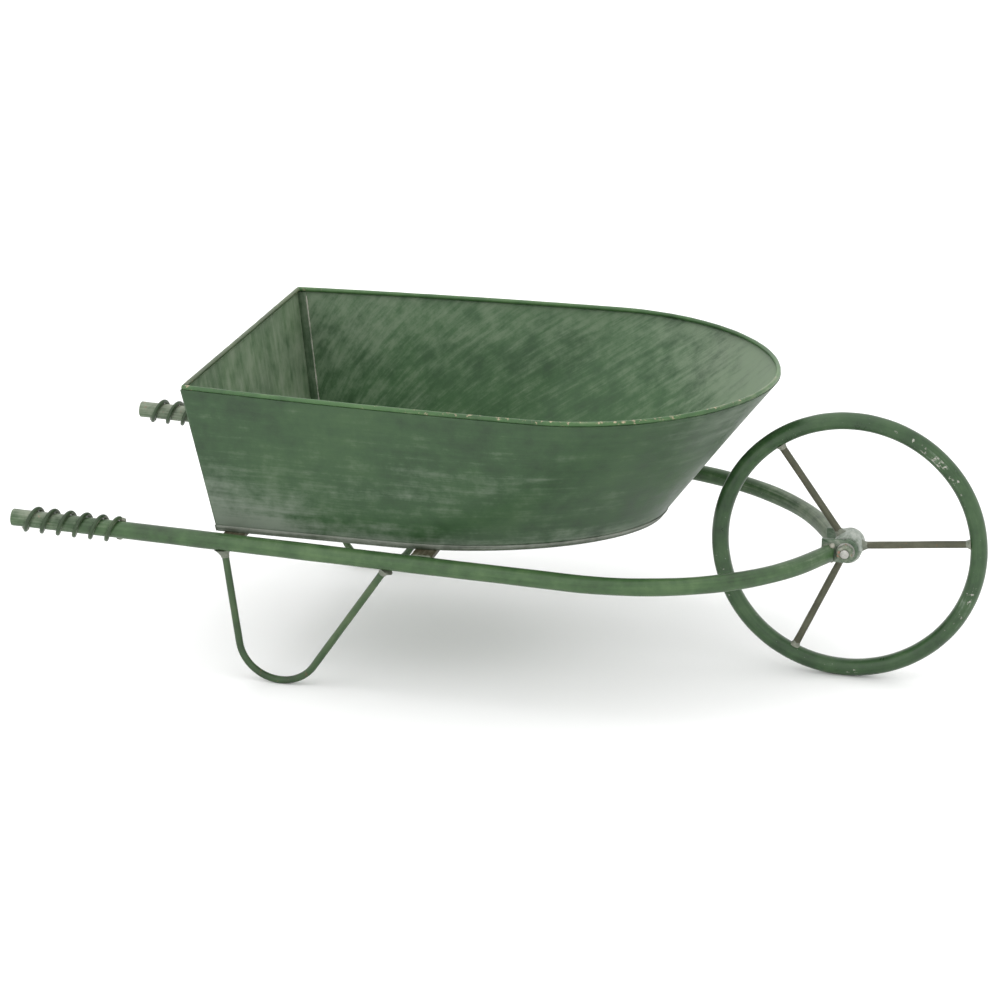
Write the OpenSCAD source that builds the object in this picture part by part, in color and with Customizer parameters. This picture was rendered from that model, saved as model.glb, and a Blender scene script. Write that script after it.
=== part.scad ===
// Garden wheelbarrow planter: a sheet-steel tray on a tubular frame with one spoked wheel.
// +X points forward (towards the wheel), +Y to the user's left, +Z up.
// The origin is on the ground under the middle of the overall length.

/* [Wheel] */
// Outside diameter of the wheel
wheel_od = 305; // [240:5:400]
// Diameter of the round tube that the wheel ring is bent from
ring_tube_d = 19; // [12:1:26]
// Wall of the wheel ring's tube
ring_wall = 1.5; // [1:0.5:3]
// Outside diameter of the hub sleeve
hub_d = 33; // [26:1:44]
// Length of the hub sleeve along the axle
hub_len = 30; // [22:1:50]
// Diameter of the spoke rods
spoke_d = 8; // [5:0.5:12]
// Number of spokes
spoke_count = 3; // [3:1:3]
// Angle of the first spoke above the horizontal
spoke_phase = 6; // [0:1:119]

/* [Axle] */
// Diameter of the axle bolt
bolt_d = 10; // [8:1:14]
// Radial clearance of the hub on the axle bolt
bore_clear = 0.08; // [0.02:0.01:0.1]
// Gap at each end of the hub
hub_side_clear = 1; // [0.5:0.5:3]
// Width across flats of the bolt head and nut
hex_af = 17; // [15:1:24]
// Thickness of the bolt head
head_t = 6.5; // [5:0.5:10]
// Thickness of the nut
nut_t = 8; // [6:0.5:12]
// Length of bolt that shows past the nut
bolt_end = 2; // [1:0.5:6]
// Diameter of the washers
washer_d = 20; // [18:1:26]
// Thickness of the washers
washer_t = 2; // [1:0.5:3]
// Thickness of the lugs that carry the axle
lug_t = 5; // [3:0.5:8]
// Diameter of the round end of each lug
lug_d = 27; // [24:1:36]

/* [Rails] */
// Diameter of the handle rails
rail_d = 19; // [16:1:25]
// Wall of the handle rails
rail_wall = 1.5; // [1:0.5:2.5]
// Distance from the axle back to the handle tips
handle_reach = 896; // [750:1:1100]
// Half of the distance between the rails' centre lines
rail_half_gap = 206.5; // [200:0.5:260]
// Rise from the axle to the rails' centre line at the handle tips
tip_rise = 17.5; // [13.5:0.5:47.5]
// Drop from the axle to the rails' centre line at the axle end
rail_end_drop = 3; // [-2.5:0.5:6.5]
// Radius of the bend that brings each rail in to the wheel
bend_radius = 262; // [200:1:275]
// Angle of that bend
bend_angle = 64; // [58:1:68]
// Distance behind the axle at which the rails' centre lines reach the lugs
rail_end_back = 16.5; // [15:0.5:22]
// Clearance between the rails' cut ends and the washers
rail_cut_clear = 2; // [1:0.5:4]
// Thickness of the discs that close the handle ends
cap_t = 2; // [1:0.5:4]
// Clearance of those discs in the tubes
cap_clear = 0.15; // [0.1:0.05:0.3]

/* [Grips] */
// Diameter of the rod wound round each handle
coil_rod_d = 5; // [3:0.5:7]
// Number of turns of the winding
coil_turns = 5.6; // [3:0.1:8]
// Advance of the winding in one turn
coil_pitch = 18.8; // [14:0.2:26]
// Distance from the handle tip to the start of the winding
coil_start = 15; // [8:1:40]
// Clearance between the winding and the rail
coil_clear = 0.25; // [0.1:0.05:0.6]
// How far the outer half of each turn runs ahead of an even helix
coil_lean = 1.7; // [0:0.1:3]

/* [Legs] */
// Diameter of the leg rods
leg_rod_d = 8; // [6:0.5:12]
// Distance from the axle back to the rear top of each leg
leg_rear_back = 653; // [600:1:680]
// Distance from the axle back to the front top of each leg
leg_front_back = 464; // [400:1:500]
// Distance from the axle back to the lowest point of each leg
leg_foot_back = 594; // [560:1:620]
// Radius of the bend at the foot, on the rod's centre line
foot_radius = 46; // [30:1:50]
// Half of the distance between the two feet
foot_half_gap = 192; // [170:1:206]

/* [Crossbars] */
// Width of the flat crossbars
bar_w = 24; // [16:1:40]
// Thickness of the flat crossbars
bar_t = 5; // [3:0.5:6]
// Distance from the axle back to the middle of the rear crossbar
bar_rear_back = 648; // [600:1:650]
// Distance from the axle back to the middle of the front crossbar
bar_front_back = 432.5; // [350:0.5:500]

/* [Tray] */
// Thickness of the tray's sheet metal
sheet_t = 1.2; // [0.8:0.1:2]
// Rise from the axle to the underside of the tray floor
floor_rise = 14.5; // [13.5:0.5:17.5]
// Depth of the tray, from there to the top of its walls
tray_depth = 167; // [113:1:253]
// Distance from the axle back to the tray's rear edge at the rim
rim_rear_back = 696.5; // [680:0.5:740]
// Distance from the axle back to the widest part of the rim
rim_wide_back = 306.5; // [280:0.5:400]
// How far the tip of the rim reaches forward over the wheel's rear edge
rim_nose_over = 68; // [12.5:0.5:72.5]
// Half width of the rim at the rear
rim_rear_half = 209; // [190:1:230]
// Half width of the rim at its widest
rim_wide_half = 228; // [208:1:240]
// Distance from the axle back to the rear edge of the floor
floor_rear_back = 667.5; // [662:0.5:680]
// Distance from the axle back to the start of the floor's rounded nose
floor_wide_back = 472; // [420:1:520]
// Gap from the wheel's rear edge back to the tip of the floor
floor_nose_gap = 57.5; // [47.5:0.5:107.5]
// Half width of the floor
floor_half = 180; // [150:0.5:185]
// Fullness of the rounded nose, where 2 is an ellipse
nose_power = 1.9; // [1.7:0.05:2.4]
// Height of the folded seam round the tray's foot
seam_h = 7; // [4:0.5:12]
// Clearance between that seam and the walls
seam_clear = 0.1; // [0.05:0.05:0.3]
// Width of the rear panel's soldered corner flanges
flange_w = 10; // [6:1:20]
// Outside diameter of the rolled top edge
roll_d = 5.4; // [5.4:0.2:10]
// Diameter of the wire inside the rolled top edge
wire_d = 3; // [2:0.5:5]
// Clearance between the wire and the rolled edge
wire_clear = 0.1; // [0.05:0.05:0.3]
// Clearance between the rear rolled edge and the side one, and between it and the corner flanges
roll_clear = 0.4; // [0.2:0.1:0.8]

/* [Hidden] */

// Segments of true round shapes
round_fn = 96;
// Sides of swept tubes
tube_sides = 20;
// Sides of swept rods
rod_sides = 16;
// Overshoot of cutting shapes
over = 1;

// Colours
paint = [0.36, 0.50, 0.36];
paint_grey = [0.47, 0.53, 0.49];
rusty = [0.42, 0.38, 0.28];
worn_steel = [0.55, 0.55, 0.50];

// Axle
ring_mid_r = (wheel_od - ring_tube_d) / 2;
axle_z = wheel_od / 2;
axle_x = (handle_reach - wheel_od / 2) / 2;
lug_in_y = hub_len / 2 + hub_side_clear;
lug_out_y = lug_in_y + lug_t;
washer_out_y = lug_out_y + washer_t;
bolt_tip_y = washer_out_y + nut_t + bolt_end;

// Rails
rail_r = rail_d / 2;
rail_bore_d = rail_d - 2 * rail_wall;
tip_height = axle_z + tip_rise;
rail_end_height = axle_z - rail_end_drop;
rail_run = handle_reach - rail_end_back;
rail_slope = atan((tip_height - rail_end_height) / rail_run);
rail_len = rail_run / cos(rail_slope);
bend_drop = bend_radius * (1 - cos(bend_angle));
tail_len = (rail_half_gap - bend_drop - lug_out_y) / sin(bend_angle);
bend_back = bend_radius * sin(bend_angle) + tail_len * cos(bend_angle);
rail_cut_x = axle_x - washer_d / 2 - rail_cut_clear;
lug_back = rail_end_back + rail_r / sin(bend_angle);

// Height of the rails' centre line at a distance behind the axle
function rail_z(back) = rail_end_height + (back - rail_end_back) * tan(rail_slope);

// Legs, in the plane that each one leans in; heights there are below the rail's centre line
leg_top_z = rail_z(leg_foot_back);
leg_drop = leg_top_z - leg_rod_d / 2;
leg_lean = atan((rail_half_gap - foot_half_gap) / leg_drop);
foot_low = -leg_drop / cos(leg_lean);
foot_centre = [-leg_foot_back, foot_low + foot_radius];
leg_rear_top = [-leg_rear_back, (rail_z(leg_rear_back) - leg_top_z) / cos(leg_lean)];
leg_front_top = [-leg_front_back, (rail_z(leg_front_back) - leg_top_z) / cos(leg_lean)];
// Angles at which the straight branches touch the foot's bend
rear_touch = angle_to(foot_centre, leg_rear_top) + acos(foot_radius / norm(leg_rear_top - foot_centre));
front_touch = angle_to(foot_centre, leg_front_top) - acos(foot_radius / norm(leg_front_top - foot_centre));

function angle_to(from, to) = atan2(to[1] - from[1], to[0] - from[0]);
function on_circle(centre, radius, angle) = centre + radius * [cos(angle), sin(angle)];

// Tray
floor_height = axle_z + floor_rise;
rim_height = floor_height + tray_depth;
roll_r = roll_d / 2;
roll_rise = sqrt(pow(roll_r, 2) - pow(roll_r - sheet_t, 2));
roll_z = rim_height + roll_rise;
flange_top = roll_z - roll_r - roll_clear;
rim_nose_back = wheel_od / 2 - rim_nose_over;
floor_nose_back = wheel_od / 2 + floor_nose_gap;

// Stations along one wall, from the rear corner (0) through the widest part (1) to the nose tip (2)
side_steps = 10;
nose_steps = 32;
stations = [
    for (i = [0 : side_steps - 1]) i / side_steps,
    for (i = [0 : nose_steps]) 1 + i / nose_steps
];
// The same stations carried on round the nose and back along the other wall
walk = concat(
    [for (s = stations) [s, 1]],
    [for (i = [len(stations) - 2 : -1 : 0]) [stations[i], -1]]
);

// One level of the tray: [height, rear, widest, nose tip, half width at rear, half width at widest]
floor_level = [floor_height, floor_rear_back, floor_wide_back, floor_nose_back, floor_half, floor_half];
rim_level = [rim_height, rim_rear_back, rim_wide_back, rim_nose_back, rim_rear_half, rim_wide_half];

function level_at(z) =
    floor_level + (rim_level - floor_level) * (z - floor_height) / (rim_height - floor_height);

// Straight-sided part bows out to the widest point; the nose is a superellipse
function side_point(lv, s) = [
    -lv[1] + (lv[1] - lv[2]) * s,
    lv[4] + (lv[5] - lv[4]) * (1 - pow(1 - s, 2))
];
function nose_point(lv, s) = [
    -lv[2] + (lv[2] - lv[3]) * pow(sin(90 * (s - 1)), 2 / nose_power),
    lv[5] * pow(cos(90 * (s - 1)), 2 / nose_power)
];
function half_point(lv, s) = s <= 1 ? side_point(lv, s) : nose_point(lv, s);
function outline_point(lv, w) = [half_point(lv, w[0])[0], w[1] * half_point(lv, w[0])[1]];

// Outward direction of the outline at a place on the walk, square to it
function unit(v) = v / norm(v);
function outline_along(lv, k) =
    unit(outline_point(lv, walk[min(k + 1, len(walk) - 1)]) - outline_point(lv, walk[max(k - 1, 0)]));
function outline_out(lv, k) = [outline_along(lv, k)[1], -outline_along(lv, k)[0]] * -1;

// A point of the wall at a height and a distance outside the sheet's outer face
function wall_point(z, k, out) = let (
    lv = level_at(z),
    p = outline_point(lv, walk[k]) + out * outline_out(lv, k)
) [p[0] + axle_x, p[1], z];

// Rear panel: outer face through the rear edges of floor and rim, leaning back
panel_lean = atan((rim_rear_back - floor_rear_back) / (rim_height - floor_height));
panel_len = (rim_height - floor_height) / cos(panel_lean);

// Closed solid through a list of sections, each a loop of points, with flat ends
module skin(sections) {
    n = len(sections[0]);
    last = len(sections) - 1;
    polyhedron(
        points = [for (s = sections) each s],
        faces = concat(
            [for (j = [1 : n - 2]) [0, j, j + 1]],
            [for (i = [0 : last - 1], j = [0 : n - 1])
                [i * n + j, (i + 1) * n + j, (i + 1) * n + (j + 1) % n]],
            [for (i = [0 : last - 1], j = [0 : n - 1])
                [i * n + j, (i + 1) * n + (j + 1) % n, i * n + (j + 1) % n]],
            [for (j = [1 : n - 2]) [last * n, last * n + j + 1, last * n + j]]
        ),
        convexity = 10
    );
}

// Round section of a swept rod: centre, two unit directions square to its path, radius, sides
function rod_section(c, u, v, r, sides) =
    [for (j = [0 : sides - 1]) c + r * (cos(360 * j / sides) * u + sin(360 * j / sides) * v)];

// Hexagonal prism along +Y from y = 0
module hex_y(across_flats, thick) {
    rotate([-90, 0, 0])
        cylinder(h = thick, d = across_flats / cos(30), $fn = 6);
}

// Round bar along +Y from y = 0
module round_y(d, len) {
    rotate([-90, 0, 0])
        cylinder(h = len, d = d, $fn = round_fn);
}

// Puts a rail's own plane in place: its origin is where the centre line reaches the lug's height
module rail_plane() {
    translate([axle_x - rail_end_back, 0, rail_end_height])
        rotate([0, rail_slope, 0])
            children();
}

// Straight part of a rail's outside, for shaping what is welded to it
module rail_straight(side) {
    rail_plane()
        translate([-rail_len, side * rail_half_gap, 0])
            rotate([0, 90, 0])
                cylinder(h = rail_len - bend_back, d = rail_d, $fn = round_fn);
}

// Left rail's centre line in its plane: [x, y, heading], from the tip through the bend to past the lug
bend_steps = 16;
function bend_station(a) = [
    -bend_back + bend_radius * sin(a),
    rail_half_gap - bend_radius * (1 - cos(a)),
    a
];
function rail_end_station(past) = [
    past * cos(bend_angle),
    lug_out_y - past * sin(bend_angle),
    bend_angle
];
function rail_stations(spare) = concat(
    [[-rail_len - spare, rail_half_gap, 0]],
    [for (i = [0 : bend_steps]) bend_station(bend_angle * i / bend_steps)],
    [rail_end_station(rail_d + spare)]
);

// Whole sweep of the left rail, spare being extra length at both ends
module rail_sweep(d, spare) {
    skin([
        for (p = rail_stations(spare))
            rod_section([p[0], p[1], 0], [sin(p[2]), cos(p[2]), 0], [0, 0, 1], d / 2, tube_sides)
    ]);
}

module rail_left_shape() {
    difference() {
        rail_plane()
            difference() {
                rail_sweep(rail_d, 0);
                rail_sweep(rail_bore_d, over);
            }
        // Cut flush with the lug's outer face
        translate([axle_x - 3 * rail_d, lug_out_y - 4 * rail_d, axle_z - 2 * rail_d])
            cube([6 * rail_d, 4 * rail_d, 4 * rail_d]);
        // Cut square in front, clear of the washer
        translate([rail_cut_x, lug_out_y - rail_d, axle_z - 2 * rail_d])
            cube([4 * rail_d, 4 * rail_d, 4 * rail_d]);
    }
}

module rail_right() {
    color(paint)
        mirror([0, 1, 0])
            rail_left_shape();
}

module rail_left() {
    color(paint)
        rail_left_shape();
}

// Disc that closes a handle end, flush with the tube
module handle_cap(side) {
    color(paint_grey)
        rail_plane()
            translate([-rail_len, side * rail_half_gap, 0])
                rotate([0, 90, 0])
                    cylinder(h = cap_t, d = rail_bore_d - 2 * cap_clear, $fn = round_fn);
}

// Rod wound round the handle; the front and back half of each turn advance by different amounts
coil_r = rail_r + coil_clear + coil_rod_d / 2;
coil_steps = 24;
coil_sides = 8;
function coil_angle(i) = -90 - 360 * i / coil_steps;
function coil_centre(i) = [
    coil_start + coil_pitch * i / coil_steps + coil_lean * (1 - cos(360 * i / coil_steps)),
    coil_r * cos(coil_angle(i)),
    coil_r * sin(coil_angle(i))
];
function coil_section(i) = let (
    along = unit(coil_centre(i + 0.5) - coil_centre(i - 0.5)),
    out = [0, cos(coil_angle(i)), sin(coil_angle(i))],
    across = cross(along, out)
) rod_section(coil_centre(i), out, across, coil_rod_d / 2, coil_sides);

module grip_coil(side) {
    color(paint)
        rail_plane()
            translate([-rail_len, side * rail_half_gap, 0])
                skin([for (i = [0 : round(coil_turns * coil_steps)]) coil_section(i)]);
}

// Plate with a round end for the axle, welded across the rail's end
module axle_lug(side) {
    low_y = side > 0 ? lug_in_y : -lug_out_y;
    color(paint)
        translate([axle_x, low_y, axle_z])
            difference() {
                union() {
                    round_y(lug_d, lug_t);
                    translate([-lug_back, 0, -lug_d / 2])
                        cube([lug_back, lug_t, lug_d - rail_wall]);
                }
                translate([0, -over, 0])
                    round_y(bolt_d + 2 * bore_clear, lug_t + 2 * over);
            }
}

module axle_bolt() {
    color(worn_steel)
        translate([axle_x, 0, axle_z]) {
            translate([0, -bolt_tip_y, 0])
                round_y(bolt_d, bolt_tip_y + washer_out_y);
            translate([0, washer_out_y, 0])
                hex_y(hex_af, head_t);
        }
}

module axle_nut() {
    color(paint)
        translate([axle_x, -washer_out_y - nut_t, axle_z])
            difference() {
                hex_y(hex_af, nut_t);
                translate([0, -over, 0])
                    round_y(bolt_d, nut_t + 2 * over);
            }
}

module axle_washer(side) {
    low_y = side > 0 ? lug_out_y : -washer_out_y;
    color(worn_steel)
        translate([axle_x, low_y, axle_z])
            difference() {
                round_y(washer_d, washer_t);
                translate([0, -over, 0])
                    round_y(bolt_d + 2 * bore_clear, washer_t + 2 * over);
            }
}

// Right leg's centre line in its plane: [x, height, angle of the outward side of the bend]
foot_steps = 14;
foot_sweep = 360 + front_touch - rear_touch;
leg_stations = concat(
    [[leg_rear_top[0], leg_rear_top[1], rear_touch]],
    [for (i = [0 : foot_steps]) let (a = rear_touch + foot_sweep * i / foot_steps)
        concat(on_circle(foot_centre, foot_radius, a), a)],
    [[leg_front_top[0], leg_front_top[1], front_touch]]
);

// Right leg: one bent rod, its two ends shaped to the underside of the rail
module leg_right_shape() {
    difference() {
        translate([axle_x, -rail_half_gap, leg_top_z])
            rotate([leg_lean, 0, 0])
                skin([
                    for (p = leg_stations) rod_section(
                        [p[0], 0, p[1]],
                        [cos(p[2]), 0, sin(p[2])],
                        [0, 1, 0],
                        leg_rod_d / 2,
                        rod_sides
                    )
                ]);
        rail_straight(-1);
    }
}

module leg_right() {
    color(paint)
        leg_right_shape();
}

module leg_left() {
    color(paint)
        mirror([0, 1, 0])
            leg_right_shape();
}

// Flat bar under the tray, its ends shaped to the rails' inner sides
module crossbar(back) {
    color(rusty)
        difference() {
            translate([axle_x - back - bar_w / 2, -rail_half_gap, floor_height - bar_t])
                cube([bar_w, 2 * rail_half_gap, bar_t]);
            rail_straight(1);
            rail_straight(-1);
        }
}

// Flat bottom of the tray: fits inside the walls, notched at the rear corners for the flanges
floor_edge = [
    for (k = [1 : len(walk) - 2])
        outline_point(floor_level, walk[k]) - sheet_t * outline_out(floor_level, k)
];
function floor_notch(side) = [
    [-floor_rear_back, side * (floor_half - 2 * sheet_t)],
    [flange_w - floor_rear_back, side * (floor_half - 2 * sheet_t)],
    [flange_w - floor_rear_back, side * (floor_half - sheet_t)]
];
function backwards(list) = [for (i = [len(list) - 1 : -1 : 0]) list[i]];

module tray_floor() {
    color(paint_grey)
        translate([axle_x, 0, floor_height])
            linear_extrude(height = sheet_t)
                polygon(concat(floor_notch(1), floor_edge, backwards(floor_notch(-1))));
}

// A strip of sheet that follows the wall from station a to station b, between two heights,
// with its outer face at a distance outside the wall's outer face
module wall_strip(a, b, low, high, out) {
    skin([
        for (k = [a : b]) [
            wall_point(low, k, out),
            wall_point(high, k, out),
            wall_point(high, k, out - sheet_t),
            wall_point(low, k, out - sheet_t)
        ]
    ]);
}

walk_last = len(walk) - 1;

// Folded seam that joins the floor to the side wall, outside the wall's foot
module side_floor_seam() {
    color(paint_grey)
        wall_strip(0, walk_last, floor_height, floor_height + seam_h, sheet_t + seam_clear);
}

// The same seam across the foot of the rear panel
module rear_floor_seam() {
    color(paint_grey)
        translate([axle_x - floor_rear_back, -floor_half, floor_height])
            rotate([0, -panel_lean, 0])
                translate([-2 * sheet_t - seam_clear, 0, 0])
                    cube([sheet_t, 2 * floor_half, seam_h]);
}

// Side wall: one sheet wrapped from one rear corner round the nose to the other
module tray_side_wall() {
    color(paint)
        wall_strip(0, walk_last, floor_height, rim_height, 0);
}

// Rear panel: a flat sheet that closes the tray behind the side wall
module tray_rear_panel() {
    color(paint)
        translate([axle_x - floor_rear_back, 0, floor_height])
            rotate([0, -panel_lean, 0])
                translate([-sheet_t, 0, 0])
                    rotate([90, 0, 90])
                        linear_extrude(height = sheet_t)
                            polygon([
                                [-floor_half, 0],
                                [floor_half, 0],
                                [rim_rear_half, panel_len],
                                [-rim_rear_half, panel_len]
                            ]);
}

// Rear panel's side edge, folded forward and soldered inside the side wall
module corner_flange(side) {
    faces = side > 0 ? [1, 2] : [2, 1];
    color(paint_grey)
        skin([
            for (ahead = [0, flange_w]) [
                flange_point(side, floor_height, ahead, faces[0]),
                flange_point(side, flange_top, ahead, faces[0]),
                flange_point(side, flange_top, ahead, faces[1]),
                flange_point(side, floor_height, ahead, faces[1])
            ]
        ]);
}

// A point inside the side wall, at a distance ahead of its rear corner and some sheets in from its outside
function flange_point(side, z, ahead, sheets) = let (lv = level_at(z))
    [axle_x - lv[1] + ahead, side * (lv[4] - sheets * sheet_t), z];

// Rolled top edge of the side wall, and the wire in it
function rim_section(k, d, sides) = rod_section(
    wall_point(rim_height, k, -roll_r) + [0, 0, roll_rise],
    concat(outline_out(rim_level, k), 0),
    [0, 0, 1],
    d / 2,
    sides
);

roll_sides = 12;
roll_bore = wire_d + 2 * wire_clear;

module side_rim_roll() {
    color(paint)
        difference() {
            skin([for (k = [0 : walk_last]) rim_section(k, roll_d, roll_sides)]);
            skin([for (k = [0 : walk_last]) rim_section(k, roll_bore, roll_sides)]);
        }
}

module side_rim_wire() {
    color(worn_steel)
        skin([for (k = [0 : walk_last]) rim_section(k, wire_d - wire_clear, roll_sides)]);
}

// Rolled top edge of the rear panel, and the wire in it, between the side ones
rear_roll_x = axle_x - rim_rear_back - sheet_t + roll_r;
rear_roll_half = rim_rear_half - roll_d - roll_clear;

module rear_rim_roll() {
    color(paint)
        translate([rear_roll_x, -rear_roll_half, roll_z])
            difference() {
                round_y(roll_d, 2 * rear_roll_half);
                translate([0, -over, 0])
                    round_y(roll_bore, 2 * rear_roll_half + 2 * over);
            }
}

module rear_rim_wire() {
    color(worn_steel)
        translate([rear_roll_x, -rear_roll_half, roll_z])
            round_y(wire_d, 2 * rear_roll_half);
}

// Wheel ring: a tube bent into a circle
module ring_torus(d) {
    rotate([90, 0, 0])
        rotate_extrude($fn = round_fn)
            translate([ring_mid_r, 0])
                circle(d = d, $fn = round_fn);
}

module wheel_ring() {
    color(paint)
        translate([axle_x, 0, axle_z])
            difference() {
                ring_torus(ring_tube_d);
                ring_torus(ring_tube_d - 2 * ring_wall);
            }
}

module wheel_hub() {
    color(worn_steel)
        translate([axle_x, -hub_len / 2, axle_z])
            difference() {
                round_y(hub_d, hub_len);
                translate([0, -over, 0])
                    round_y(bolt_d + 2 * bore_clear, hub_len + 2 * over);
            }
}

// Spoke: a rod from the hub to the ring, its ends shaped to both
module spoke(number) {
    angle = spoke_phase + 360 * (number - 1) / spoke_count;
    color(rusty)
        translate([axle_x, 0, axle_z])
            difference() {
                rotate([0, 90 - angle, 0])
                    cylinder(h = ring_mid_r, d = spoke_d, $fn = round_fn);
                translate([0, -hub_len, 0])
                    round_y(hub_d, 2 * hub_len);
                ring_torus(ring_tube_d);
            }
}

rail_right();
rail_left();
handle_cap(-1);  // handle_cap_right
handle_cap(1);  // handle_cap_left
grip_coil(-1);  // grip_coil_right
grip_coil(1);  // grip_coil_left
axle_lug(-1);  // axle_lug_right
axle_lug(1);  // axle_lug_left
axle_bolt();
axle_nut();
axle_washer(-1);  // axle_washer_right
axle_washer(1);  // axle_washer_left
leg_right();
leg_left();
crossbar(bar_rear_back);  // crossbar_rear
crossbar(bar_front_back);  // crossbar_front
tray_floor();
tray_side_wall();
tray_rear_panel();
side_floor_seam();
rear_floor_seam();
corner_flange(-1);  // corner_flange_right
corner_flange(1);  // corner_flange_left
side_rim_roll();
rear_rim_roll();
side_rim_wire();
rear_rim_wire();
wheel_ring();
wheel_hub();
spoke(1);  // spoke_1
spoke(2);  // spoke_2
spoke(3);  // spoke_3
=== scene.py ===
"""Decorative all-metal garden wheelbarrow: a sheet-steel tray on a welded tube frame with one spoked wheel.

Everything is in metres: +X points forward, +Y to the user's left, +Z up, with the ground at z = 0.
"""

import bpy
import numpy as np
from mathutils import Matrix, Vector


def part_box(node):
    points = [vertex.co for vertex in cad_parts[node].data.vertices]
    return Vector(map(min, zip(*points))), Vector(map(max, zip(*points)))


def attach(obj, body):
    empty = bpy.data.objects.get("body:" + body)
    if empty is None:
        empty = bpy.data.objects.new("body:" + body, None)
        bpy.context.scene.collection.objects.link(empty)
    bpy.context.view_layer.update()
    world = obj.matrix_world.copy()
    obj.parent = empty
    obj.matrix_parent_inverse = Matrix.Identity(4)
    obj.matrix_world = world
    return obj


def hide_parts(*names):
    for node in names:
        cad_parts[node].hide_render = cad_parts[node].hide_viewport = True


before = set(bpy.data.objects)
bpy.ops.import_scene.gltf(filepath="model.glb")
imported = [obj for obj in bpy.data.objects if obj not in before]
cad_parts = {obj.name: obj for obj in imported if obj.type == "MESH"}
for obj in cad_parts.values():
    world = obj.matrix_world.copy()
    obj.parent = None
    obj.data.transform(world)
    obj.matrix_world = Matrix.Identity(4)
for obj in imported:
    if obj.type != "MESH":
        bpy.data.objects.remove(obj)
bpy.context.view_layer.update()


# ---- Handle rails ----
# Two lengths of 19 mm steel tube, straight from the handle and then bent in towards the wheel.
# The front end of each is sawn at a slant to lie on its axle lug, and square in front of the nut.
# They are painted green by brush, rubbed and limewashed, and worn pale towards the wheel.

def add(tree, kind, inputs=None, **settings):
    """Adds a shader node. A socket given for an input is linked to it, and anything else is its value."""
    made = tree.nodes.new(kind)
    for name, value in settings.items():
        setattr(made, name, value)
    for name, value in (inputs or {}).items():
        if isinstance(value, bpy.types.NodeSocket):
            tree.links.new(value, made.inputs[name])
        else:
            made.inputs[name].default_value = value
    return made


def calc(tree, operation, a, b=0.0):
    """One step of arithmetic on two values."""
    return add(tree, "ShaderNodeMath", {0: a, 1: b}, operation=operation).outputs[0]


def soft_step(tree, value, low, high):
    """0 below low, 1 above high, and a smooth rise between them."""
    inputs = {"Value": value, "From Min": low, "From Max": high}
    return add(tree, "ShaderNodeMapRange", inputs, interpolation_type="SMOOTHSTEP").outputs[0]


def over(tree, amount, under, top):
    """One colour laid over another, as thick as the amount says."""
    inputs = {0: amount, 6: under, 7: top}
    return add(tree, "ShaderNodeMix", inputs, data_type="RGBA").outputs[2]


def noise(tree, place, scale, detail, roughness=0.6):
    """Cloudy grey pattern round 0.5; scale is its number of clouds in a metre."""
    inputs = {"Vector": place, "Scale": scale, "Detail": detail, "Roughness": roughness}
    return add(tree, "ShaderNodeTexNoise", inputs).outputs[0]


def ramp(tree, value, *stops):
    """Colour for each value, from stops of (value, colour)."""
    made = add(tree, "ShaderNodeValToRGB", {0: value})
    bands = made.color_ramp.elements
    while len(bands) < len(stops):
        bands.new(0.5)
    for band, (at, colour) in zip(bands, stops):
        band.position = at
        band.color = (*colour, 1)
    return made.outputs[0]


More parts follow.
